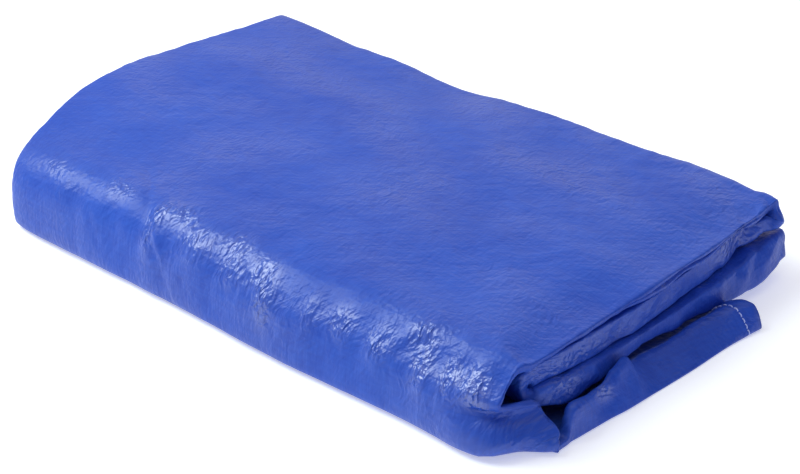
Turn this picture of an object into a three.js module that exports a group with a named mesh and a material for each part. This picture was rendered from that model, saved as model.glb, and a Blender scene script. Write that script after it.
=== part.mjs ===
// Folded pool cover in millimetres, +Z up: one sheet of woven polyethylene. Its two long edges are
// turned in over each other, which makes a strip of three loose layers with a soft fold along each end.
// The strip is then laid back and forth in four folds: the lowest on the floor, round the front to the
// top, round the back to the grey fold, and round the inner bend to the last one. X runs along the
// end-to-end width of the strip, -Y is the round front, and the ends of the folds show at +X.
import * as THREE from 'three';

// Thickness of the sheet, and half the thickness of the strip between its ends
const SHEET = 1.4;
const HALF = 5.6;
// Where the two free edges lie inside the strip
const FREE_UNDER = -188;
const FREE_OVER = 158;
// Width over which the layers spread towards the left fold, the crowding of points towards the right
// one, and the width of blend from which they are crowded in full
const LEFT_BLEND = 60;
const CROWD = 1.7;
const CROWD_FULL = 40;
// The right end is drawn round the front corner over this width, later and steeper with a higher power
const WRAP_REACH = 64;
const WRAP_POWER = 4.2;
const WRAP_END = 1.2;
// Middle of the pack as it is laid out below, which becomes the origin
const MIDDLE = { x: 7.5, y: -4.4 };

// Longest step of the mesh along a fold, steps round each bend in degrees, and steps across the strip
const RUN_STEP = 40;
const BEND_STEP = { front: 12, back: 25, inner: 36 };
const INSIDE_STEPS = 5;
const RIGHT_STEPS = 5;
const LEFT_STEPS = 3;
const ROUND_STEPS = 4;
// How flat the face of an end fold is, where 1 is round, and the share of it that a tuck takes
const NOSE_POWER = 0.36;
const TUCK_WIDTH = 0.24;

// Sections of the strip, in order along it. at: the place along Y on a straight fold, or the angle round
// a bend. z: height of the strip's middle. right, left: where its end folds reach. Out: how far the end
// fold's outer face stands off the middle. Lobe: the height of the end fold, and Round: the depth of its
// nose. Blend: the width over which it opens. lean: how far the nose starts behind its other side. tuck:
// depth of the tuck in the middle of the nose. wrap: how far the right end is drawn back round the front
// corner.
const COLUMNS = [
  'place', 'at', 'z', 'right', 'rightOut', 'rightLobe', 'rightRound', 'rightBlend', 'lean', 'tuck', 'wrap',
  'left', 'leftOut', 'leftLobe', 'leftRound',
];
const SECTIONS = [
  ['flap', 87, 5.6, 290.5, 5.6, 19.5, 8, 30, 8, 0, 0, -256, 5.6, 11, 6],
  ['flap', 50, 5.6, 286, 5.6, 16, 5, 10, 19, 0, 0, -260, 5.6, 11.5, 6],
  ['flap', 10, 5.6, 283, 5.6, 14, 4, 10, 21, 0, 0, -263, 5.6, 12, 6],
  ['flap', -20, 5.6, 280, 5.6, 14, 4, 13, 22, 0, 0, -265, 5.6, 12, 7],
  ['flap', -33, 5.6, 278.5, 5.6, 18.5, 4, 11, 18, 0, 0, -267, 5.6, 12, 7],
  ['flap', -44, 5.6, 277.5, 5.6, 29, 4, 7, 15, 0, 0, -268, 5.6, 13, 7],
  ['flap', -58, 5.6, 276, 5.6, 28, 4, 5, 13, 0, 0, -268, 5.6, 13, 7],
  ['flap', -75, 5.6, 273, 5.6, 24.5, 4, 5, 10, 0, 0, -266, 5.6, 13, 7],
  ['flap', -91, 5.6, 271, 5.6, 22.5, 4, 5, 8, 0, 0, -262, 5.6, 13, 7],
  ['flap', -106, 5.6, 269, 5.6, 22.5, 3.4, 5, 5, 0, 0, -258, 5.6, 13, 7],
  ['flap', -112, 5.6, 268, 5.6, 19, 3, 5, 4, 0, 1, -255, 5.6, 13, 7],
  ['flap', -117, 5.6, 267.5, 5.6, 8, 2.6, 9, 1, 0, 2, -254, 5.6, 13, 7],
  ['flap', -120, 5.6, 267.5, 5.6, 5.4, 2.4, 20, 0, 0, 3, -253, 5.6, 13, 7],
  ['flap', -137, 5.6, 267, 5.6, 4.6, 2.2, 40, 0, 0, 11, -246, 5.6, 13, 7],
  ['front', 15, 0, 265.5, 5.6, 4.4, 2.2, 32, 0, 0, 16.5, -240, 5.6, 13, 6],
  ['front', 35, 0, 263, 5.6, 4.4, 2.2, 30, 0, 0, 29, -238, 5.6, 13, 6],
  ['front', 60, 0, 256, 4.8, 4.4, 2.2, 30, 0, 0, 38, -238, 5.6, 13, 6],
  ['front', 78, 0, 248, 3, 4.4, 2.2, 40, 0, 0, 41, -239, 5.6, 13, 6],
  ['front', 88, 0, 246, 2.4, 4.4, 2.2, 44, 0, 0, 39, -239, 5.6, 13, 6],
  ['front', 98, 0, 243, 3, 4.4, 2.2, 40, 0, 0, 25, -240, 5.6, 13, 6],
  ['front', 108, 0, 239, 4, 4.4, 2.2, 34, 0, 0, 10, -241, 5.6, 13, 6],
  ['front', 118, 0, 238, 3.2, 4.4, 2.2, 30, 0, 0, 2, -243, 5.6, 13, 6],
  ['front', 150, 0, 238, 4.6, 4.4, 2.2, 24, 0, 0, 0, -250, 5.6, 13, 6],
  ['front', 167, 0, 239, 4.4, 4.4, 2.2, 20, 0, 0, 0, -254, 5.6, 13, 6],
  ['top', -128, 59.4, 240, 1.5, 4.4, 2.2, 24, 0, 0, 0, -257, 5.6, 13, 8],
  ['top', -115, 59.4, 242.5, 0.2, 4.4, 2.2, 34, 0, 0, 0, -262, 5.6, 13, 8],
  ['top', -85, 59.4, 245, 0, 4.4, 2.2, 50, 0, 0, 0, -270, 5.6, 15, 8],
  ['top', -45, 59.4, 246, -0.6, 4.4, 2.2, 50, 0, 0, 0, -276, 5.6, 15, 8],
  ['top', -10, 59.4, 249, 1, 6, 2.4, 50, 0, 2, 0, -274, 5.6, 15, 8],
  ['top', 18, 59.4, 251.5, 2.6, 10, 2.6, 50, 0, 3.4, 0, -273, 5.6, 15, 8],
  ['top', 40, 59.4, 251.5, 2, 7, 2.6, 50, 0, 2.6, 0, -272, 5.6, 15, 8],
  ['top', 64, 59.4, 252, 1.4, 9, 2.6, 50, 0, 3.2, 0, -270, 5.6, 15, 8],
  ['top', 90, 59.4, 252, 0.6, 4.4, 2.2, 50, 0, 0.6, 0, -267, 5.6, 14, 7],
  ['top', 125, 59.4, 253, 1, 6, 2.4, 50, 0, 1, 0, -263, 5.6, 12, 6],
  ['top', 150, 59.4, 254.5, 3.2, 9, 2.6, 50, 0, 1, 0, -258, 5.6, 9, 5],
  ['back', 60, 0, 257, 4.6, 12, 2.6, 50, 0, 1.2, 0, -256, 5.6, 9, 5],
  ['back', 120, 0, 262, 5.6, 13, 2.6, 50, 0, 0, 0, -252, 5.6, 10, 5],
  ['grey', 150, 42, 260, 5, 13, 3, 60, 0, 0, 0, -250, 5.6, 12, 6],
  ['grey', 120, 41, 253, 8, 19, 3, 60, 0, 0, 0, -254, 7, 14, 8],
  ['grey', 90, 39.5, 249.5, 11, 22, 3, 60, 0, 0, 0, -258, 8, 16, 8],
  ['grey', 0, 40, 248, 11, 21, 3, 60, 0, 0, 0, -266, 8, 16, 8],
  ['grey', -60, 42, 246, 10, 20.5, 3, 60, 0, 0, 0, -262, 7, 13, 8],
  ['grey', -100, 44, 243, 8.4, 17.6, 3, 60, 0, 0, 0, -256, 6.4, 12, 7],
  ['grey', -124, 43.6, 238, 7.8, 16.4, 3, 60, 0, 0, 0, -250, 5.6, 11, 6],
  ['inner', 90, 0, 236, 6.4, 9.4, 2.4, 60, 0, 0, 0, -242, 5.6, 11, 6],
  ['last', -124, 27.2, 241, 7.4, 17, 3, 60, -2, 0, 0, -248, 5.6, 12, 6],
  ['last', -100, 27.8, 248, 6.4, 20, 3, 60, -5, 0, 0, -252, 5.6, 12, 6],
  ['last', -85, 27.2, 248.5, 5.6, 19, 3, 60, -5, 0, 0, -256, 5.6, 12, 6],
  ['last', -60, 26.4, 250, 4.4, 12, 2.6, 60, -4, 0, 0, -262, 5, 11, 8],
  ['last', 0, 22.6, 251.5, 5.2, 12, 2.6, 60, 0, 0, 0, -264, 5, 11, 8],
  ['last', 60, 20.4, 254, 7, 17, 3, 60, 0, 0, 0, -260, 5.6, 11, 8],
  ['last', 95, 19.4, 255, 8, 19, 3, 60, 0, 0, 0, -255, 5.6, 11, 8],
  ['last', 130, 18, 258, 14, 27, 3, 60, 0, 0, 0, -254, 7, 14, 8],
  ['last', 165, 19, 259, 17, 26, 4, 60, 0, 0, 0, -250, 7, 16, 8],
].map((row) => Object.fromEntries(COLUMNS.map((name, i) => [name, row[i]])));

// Bends between the folds. depth: how far the middle stands out, way: towards -Y or +Y. first, second:
// how square the outer face is in each half of the bend, where 2 is round.
const BENDS = {
  front: { depth: 30.5, way: -1, first: 8, second: 2.6 },
  back: { depth: 9, way: 1, first: 4.5, second: 2.4 },
  inner: { depth: 7.5, way: -1, first: 2, second: 2 },
};
// Angles of the first and last point round a bend, and from one point to the next, in degrees
const BEND_ENDS = 2;
const BEND_POINT = 2;

// Soft humps and hollows of the whole pack: place, spread, and the rise of the top in millimetres
const TOP = 65;
const HUMPS = [
  { x: -262, y: -10, wide: 110, deep: 120, rise: 6 },
  { x: -20, y: -20, wide: 160, deep: 90, rise: 2 },
  { x: -262, y: -160, wide: 60, deep: 45, rise: -9 },
  { x: -56, y: 165, wide: 50, deep: 45, rise: -7 },
  { x: -165, y: 165, wide: 60, deep: 40, rise: -3 },
];
// The front shoulder, the radius over which it gives, and where it is pressed in along X
const SHOULDER = { y: -160, z: 58, spread: 17 };
const PRESSES = [
  { x: 205, wide: 75, depth: 8 },
  { x: 60, wide: 90, depth: 4 },
];
// The round plan of the front left corner: how far it is drawn back, and where that starts and how far
// it runs
const CORNER = { depth: 12, x: -210, wide: 50, y: -60, deep: 105 };
// The front's fullness along X, and the spread foot of its right corner
const FULLNESS = { depth: 4, x: 60, wide: 80, y: -80, deep: 90 };
const FOOT = { depth: 3.4, x: 224, wide: 32, y: -120, deep: 40, high: 26 };
// The small step to each side from which the direction of the middle surface is taken
const SMALL = 0.75;

const clamp01 = (value) => THREE.MathUtils.clamp(value, 0, 1);
const smooth = (from, to, value) => THREE.MathUtils.smoothstep((value - from) / (to - from), 0, 1);

function spaced(from, to, steps) {
  return Array.from({ length: steps + 1 }, (_, i) => from + (to - from) * i / steps);
}

// A curve through the given values that never overshoots them
function easyCurve(knots, values) {
  const slope = values.slice(1).map((v, i) => (v - values[i]) / (knots[i + 1] - knots[i]));
  const turn = values.map((_, i) => {
    if (i === 0) return slope[0];
    if (i === values.length - 1) return slope[i - 1];
    const [before, after] = [slope[i - 1], slope[i]];
    return before * after > 0 ? 2 * before * after / (before + after) : 0;
  });
  return (at) => {
    let k = 0;
    while (k < knots.length - 2 && at >= knots[k + 1]) k += 1;
    const gap = knots[k + 1] - knots[k];
    const u = clamp01((at - knots[k]) / gap);
    const w = 1 - u;
    return values[k] * (1 + 2 * u) * w * w + gap * turn[k] * u * w * w
      + values[k + 1] * u * u * (3 - 2 * u) - gap * turn[k + 1] * u * u * w;
  };
}

// Distance from the middle of a bend to its rim, at an angle from where the bend starts
function reach(angle, across, out, power) {
  const a = Math.abs(Math.cos(angle)) / across;
  const b = Math.abs(Math.sin(angle)) / out;
  return (a ** power + b ** power) ** (-1 / power);
}

// The sections that follow each other in one place, in order
function groupSections() {
  const groups = [];
  for (const section of SECTIONS) {
    if (groups.at(-1)?.place !== section.place) groups.push({ place: section.place, sections: [] });
    groups.at(-1).sections.push(section);
  }
  return groups;
}

// The strip's middle on a straight fold, a point every millimetre
function runPoints(sections) {
  const [first, last] = [sections[0], sections.at(-1)];
  const way = Math.sign(last.at - first.at);
  const height = easyCurve(sections.map((s) => (s.at - first.at) * way), sections.map((s) => s.z));
  const length = Math.round(Math.abs(last.at - first.at));
  return spaced(0, length, length).map((d) => {
    const at = first.at + way * d;
    return { place: first.place, at, y: at, z: height(d), loft: 0, endLoft: 0 };
  });
}

// The strip's middle round a bend. loft: how far its outer face stands off a round one. There is none where
// the strip's outer face lies inside the bend.
function bendPoints(place, before, after) {
  const bend = BENDS[place];
  const half = Math.abs(before.z - after.z) / 2;
  const up = Math.sign(before.z - after.z);
  const steps = (180 - 2 * BEND_ENDS) / BEND_POINT;
  return spaced(BEND_ENDS, 180 - BEND_ENDS, steps).map((degrees) => {
    const angle = THREE.MathUtils.degToRad(degrees);
    const round = reach(angle, half, bend.depth, 2);
    const power = degrees < 90 ? bend.first : bend.second;
    const rim = reach(angle, half + HALF, bend.depth + HALF, power);
    const loft = place === 'inner' ? 0 : rim - round - HALF;
    return {
      place,
      at: degrees,
      y: (before.at + after.at) / 2 + (before.at - after.at) / 2 * Math.cos(angle)
        + bend.way * round * Math.sin(angle),
      z: (before.z + after.z) / 2 + up * round * Math.cos(angle),
      loft,
      endLoft: place === 'back' ? loft : 0,
    };
  });
}

// The whole middle line, with the length s along it at each point
function stripPath() {
  const groups = groupSections();
  const points = groups.flatMap((group, i) => (
    group.place in BENDS
      ? bendPoints(group.place, groups[i - 1].sections.at(-1), groups[i + 1].sections[0])
      : runPoints(group.sections)
  ));
  points.forEach((p, i) => {
    const q = points[i - 1];
    p.s = q ? q.s + Math.hypot(p.y - q.y, p.z - q.z) : 0;
  });
  return points;
}

const PATH = stripPath();
const LENGTH = PATH.at(-1).s;

// The point of the path that is nearest to a section's place
function pathPoint(place, at) {
  const near = PATH.filter((p) => p.place === place);
  return near.reduce((best, p) => (Math.abs(p.at - at) < Math.abs(best.at - at) ? p : best));
}

// Every column as a smooth curve along the strip
const KNOTS = SECTIONS.map((section) => pathPoint(section.place, section.at).s);
const CURVES = Object.fromEntries(
  COLUMNS.slice(3).map((name) => [name, easyCurve(KNOTS, SECTIONS.map((section) => section[name]))]),
);

// Values of the path itself at a length s
function onPath(s) {
  let k = 0;
  while (k < PATH.length - 2 && s >= PATH[k + 1].s) k += 1;
  const [a, b] = [PATH[k], PATH[k + 1]];
  const u = clamp01((s - a.s) / (b.s - a.s));
  const mixed = {};
  for (const name of ['y', 'z', 'loft', 'endLoft']) mixed[name] = a[name] + (b[name] - a[name]) * u;
  return mixed;
}

// The strip's middle surface at width x and length s, with the right end drawn round the front corner
function middleSurface(x, s) {
  const { y, z } = onPath(s);
  const u = THREE.MathUtils.clamp((x - CURVES.right(s) + WRAP_REACH) / WRAP_REACH, 0, WRAP_END);
  return new THREE.Vector3(x, y + CURVES.wrap(s) * u ** WRAP_POWER, z);
}

// The nose of an end fold: half a turn from one layer to the next, flat faced, leaning and tucked
function nose(x, depth, fromT, toT, way, lean = 0, tuck = 0) {
  const middle = (fromT + toT) / 2;
  const half = (toT - fromT) / 2;
  return spaced(-Math.PI / 2, Math.PI / 2, ROUND_STEPS).map((angle) => {
    const rise = Math.sin(angle);
    const out = depth * Math.max(Math.cos(angle), 0) ** NOSE_POWER;
    const back = lean * (1 - rise) / 2 + tuck * Math.exp(-((rise / TUCK_WIDTH) ** 2));
    return new THREE.Vector2(x + way * (out - back), middle + half * rise);
  });
}

// Middle line of the sheet across one section: x, and t off the strip's middle. It runs from the free edge
// under the outer layer to the right fold, back along the outer layer to the left fold, and in to the other
// free edge.
function sheetLine(s) {
  const q = Object.fromEntries(Object.entries(CURVES).map(([name, curve]) => [name, curve(s)]));
  const { loft, endLoft } = onPath(s);
  const outer = HALF + loft - SHEET / 2;
  const inner = -HALF + SHEET / 2;
  const rightOuter = q.rightOut + endLoft - SHEET / 2;
  const rightInner = rightOuter - q.rightLobe + SHEET;
  const leftOuter = q.leftOut + loft - SHEET / 2;
  const leftInner = leftOuter - q.leftLobe + SHEET;
  const rightEnd = q.right - q.rightRound;
  const rightStart = rightEnd - q.rightBlend;
  const leftEnd = q.left + q.leftRound;
  const leftStart = leftEnd + LEFT_BLEND;
  const inside = spaced(leftStart, rightStart, INSIDE_STEPS);
  const crowd = 1 + (CROWD - 1) * clamp01(q.rightBlend / CROWD_FULL);
  const toRight = spaced(0, 1, RIGHT_STEPS).map((u) => rightEnd - q.rightBlend * (1 - u) ** crowd);
  const leaning = toRight.map((x) => x - q.lean);
  const toLeft = spaced(leftStart, leftEnd, LEFT_STEPS);
  const flat = (xs, t) => xs.map((x) => new THREE.Vector2(x, t));
  const opened = (xs, from, to, fromT, toT) => (
    xs.map((x) => new THREE.Vector2(x, fromT + (toT - fromT) * smooth(from, to, x)))
  );
  return [
    ...flat([FREE_UNDER, ...inside.slice(1, -1)], 0),
    ...opened(leaning.slice(0, -1), leaning[0], leaning.at(-1), 0, rightInner),
    ...nose(rightEnd, q.rightRound - SHEET / 2, rightInner, rightOuter, 1, q.lean, q.tuck),
    ...opened(toRight.toReversed().slice(1), rightStart, rightEnd, outer, rightOuter),
    ...flat(inside.slice(1, -1).toReversed(), outer),
    ...opened(toLeft.slice(0, -1), leftStart, leftEnd, outer, leftOuter),
    ...nose(leftEnd, q.leftRound - SHEET / 2, leftOuter, leftInner, -1),
    ...opened(toLeft.toReversed().slice(1, -1), leftStart, leftEnd, inner, leftInner),
    ...flat([...inside.slice(0, -2), FREE_OVER], inner),
  ];
}

// Both faces of the sheet as one closed loop round its middle line
function sheetOutline(line) {
  const side = line.map((p, i) => {
    const [before, after] = [line[Math.max(i - 1, 0)], line[Math.min(i + 1, line.length - 1)]];
    const along = after.clone().sub(before).normalize();
    return new THREE.Vector2(-along.y, along.x).multiplyScalar(SHEET / 2);
  });
  const under = line.map((p, i) => p.clone().sub(side[i]));
  const over = line.map((p, i) => p.clone().add(side[i]));
  return [...under, ...over.toReversed()];
}

const bell = (value, middle, wide) => Math.exp(-(((value - middle) / wide) ** 2));

// Humps of the pack, the round plan of its front left corner, its pressed shoulder and the fullness of
// its front
function settled(p) {
  let rise = 1;
  for (const hump of HUMPS) {
    rise += hump.rise / TOP * bell(p.x, hump.x, hump.wide) * bell(p.y, hump.y, hump.deep);
  }
  let press = 0;
  for (const { x, wide, depth } of PRESSES) press += depth * bell(p.x, x, wide) * Math.SQRT1_2;
  press *= bell(p.y, SHOULDER.y, SHOULDER.spread) * bell(p.z, SHOULDER.z, SHOULDER.spread);
  const corner = CORNER.depth * clamp01((CORNER.x - p.x) / CORNER.wide) ** 2
    * clamp01((CORNER.y - p.y) / CORNER.deep) ** 2;
  const full = FULLNESS.depth * clamp01((FULLNESS.y - p.y) / FULLNESS.deep) ** 2
    * bell(p.x, FULLNESS.x, FULLNESS.wide);
  const foot = FOOT.depth * clamp01((FOOT.y - p.y) / FOOT.deep) * bell(p.x, FOOT.x, FOOT.wide)
    * bell(p.z, 0, FOOT.high);
  return new THREE.Vector3(p.x, p.y + corner - full - foot + press, Math.max(p.z * rise - press, 0));
}

// Lengths along the strip where a section of the mesh stands: round the bends, at each named section of a
// straight fold, and between these where they are far apart
function stations() {
  return groupSections().flatMap(({ place, sections }) => {
    if (place in BENDS) {
      const steps = Math.round(180 / BEND_STEP[place]);
      return spaced(0, 180, steps).slice(1, -1).map((degrees) => pathPoint(place, degrees).s);
    }
    const named = sections.map((section) => pathPoint(place, section.at).s);
    return named.flatMap((start, i) => {
      if (i === named.length - 1) return [start];
      const steps = Math.ceil((named[i + 1] - start) / RUN_STEP);
      return spaced(start, named[i + 1], steps).slice(0, -1);
    });
  });
}

// One section of the mesh: each point of the outline, set off the middle surface along its normal
function ring(s) {
  return sheetOutline(sheetLine(s)).map(({ x, y: t }) => {
    const across = middleSurface(x + SMALL, s).sub(middleSurface(x - SMALL, s));
    const [before, after] = [Math.max(s - SMALL, 0), Math.min(s + SMALL, LENGTH)];
    const along = middleSurface(x, after).sub(middleSurface(x, before));
    const normal = across.cross(along).normalize();
    return settled(middleSurface(x, s).addScaledVector(normal, t));
  });
}

// Triangles between two sections. Both faces of the sheet are split along the same diagonal.
function ringFaces(rings) {
  const size = rings[0].length;
  const faces = [];
  for (let i = 0; i < rings.length - 1; i += 1) {
    for (let j = 0; j < size; j += 1) {
      const a = i * size + j;
      const b = i * size + (j + 1) % size;
      if (j < size / 2) faces.push(a, b + size, b, a, a + size, b + size);
      else faces.push(a, a + size, b, b, a + size, b + size);
    }
  }
  return faces;
}

// Triangles that close the sheet's cut edge at one end of the strip
function edgeFaces(start, size, flipped) {
  const faces = [];
  for (let j = 0; j < size / 2 - 1; j += 1) {
    const [a, b, c, d] = [start + j, start + j + 1, start + size - 2 - j, start + size - 1 - j];
    if (flipped) faces.push(a, c, b, a, d, c);
    else faces.push(a, b, c, a, c, d);
  }
  return faces;
}

function foldedSheet() {
  const rings = stations().map(ring);
  const size = rings[0].length;
  const geometry = new THREE.BufferGeometry().setFromPoints(rings.flat());
  geometry.setIndex([
    ...ringFaces(rings),
    ...edgeFaces(0, size, false),
    ...edgeFaces((rings.length - 1) * size, size, true),
  ]);
  geometry.translate(-MIDDLE.x, -MIDDLE.y, 0);
  geometry.computeVertexNormals();
  return geometry;
}

function coatedWeave() {
  return new THREE.MeshStandardMaterial({
    color: 0x3348b0,
    roughness: 0.42,
    metalness: 0,
    side: THREE.DoubleSide,
  });
}

const cover = new THREE.Mesh(foldedSheet(), coatedWeave());
cover.name = 'cover';

const pack = new THREE.Group();
pack.add(cover);

export default pack;
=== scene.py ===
# Folded pool cover: the looks of a coated woven sheet, folded into a flat pack and laid on a pale floor.
# Sizes are in millimetres unless a comment says otherwise; a mesh is turned into metres when it is made.
import math

import bpy
import numpy as np
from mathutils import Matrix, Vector


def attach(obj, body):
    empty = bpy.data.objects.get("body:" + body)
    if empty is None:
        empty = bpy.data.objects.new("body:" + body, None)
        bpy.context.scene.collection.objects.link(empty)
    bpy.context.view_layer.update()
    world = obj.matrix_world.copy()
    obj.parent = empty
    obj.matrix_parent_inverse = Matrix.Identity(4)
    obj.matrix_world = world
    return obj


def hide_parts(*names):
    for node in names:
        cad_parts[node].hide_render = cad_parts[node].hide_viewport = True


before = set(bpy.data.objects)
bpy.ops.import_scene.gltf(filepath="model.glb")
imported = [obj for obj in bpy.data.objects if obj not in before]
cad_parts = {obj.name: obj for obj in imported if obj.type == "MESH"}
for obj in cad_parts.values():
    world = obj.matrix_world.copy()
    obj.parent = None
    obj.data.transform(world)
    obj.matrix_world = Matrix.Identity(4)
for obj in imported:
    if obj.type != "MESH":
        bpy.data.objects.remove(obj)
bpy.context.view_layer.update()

MM = 0.001

# Camera: where it looks and its distance, both in metres, its direction in degrees and its lens
TARGET = (-0.0029, 0.0222, 0.0)
DISTANCE = 1.5644
AZIMUTH = 40.58
ELEVATION = 30.39
LENS = 90
SENSOR = 36

# Thickness of the sheet, half the thickness of the strip between its ends, and where the two free edges
# lie inside the strip
SHEET = 0.7
HALF = 5.6
FREE_UNDER = -188
FREE_OVER = 158
# Width over which the layers spread towards the left fold, the crowding of points towards the right one,
# and the width of blend from which they are crowded in full
LEFT_BLEND = 60
CROWD = 1.7
CROWD_FULL = 40
# The right end is drawn round the front corner over this width, later and steeper with a higher power
WRAP_REACH = 64
WRAP_POWER = 4.2
WRAP_END = 1.2
# Middle of the pack as it is laid out below, which becomes the origin
MIDDLE = (7.5, -4.4)
# The small step to each side from which the direction of the middle surface is taken
SMALL = 0.75

# Brightness of the surroundings at each height, dark below the pack, and from level with it up to
# straight above it
SKY = [(0.0, 0.0), (0.0, 0.5), (0.3, 0.5), (0.5, 0.28), (0.68, 0.36), (1.0, 1.05)]
SKY_STRENGTH = 0.95
# The sky dims towards +X: where that starts and ends, as a share of +X in the direction, and the tint
# it dims to
DIM_RANGE = (0.2, 0.75)
DIM_TINT = (0.26, 0.36, 0.95)

# The hem at the first end of the strip: width, added thickness of the turned edge, where that thins out,
# from and to which length past the width, and its row of stitches
HEM = 14.0
HEM_EXTRA = 0.8
HEM_THINS = (-0.5, 1.5)
STITCH_PITCH = 4.6
STITCH_LENGTH = 3.7
THREAD = 1.0
THREAD_SIDES = 8
# Rise of a stitch off the cloth along its length, in thicknesses of the thread, and the least height
# above the floor, in the same measure, at which one is made
STITCH_ARCH = (-0.6, 0.25, 0.45, 0.45, 0.25, -0.6)
STITCH_CLEAR = 1.0
# A direction that no stitch runs in
ASIDE = (0.3, 0.5, 0.8)

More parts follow.
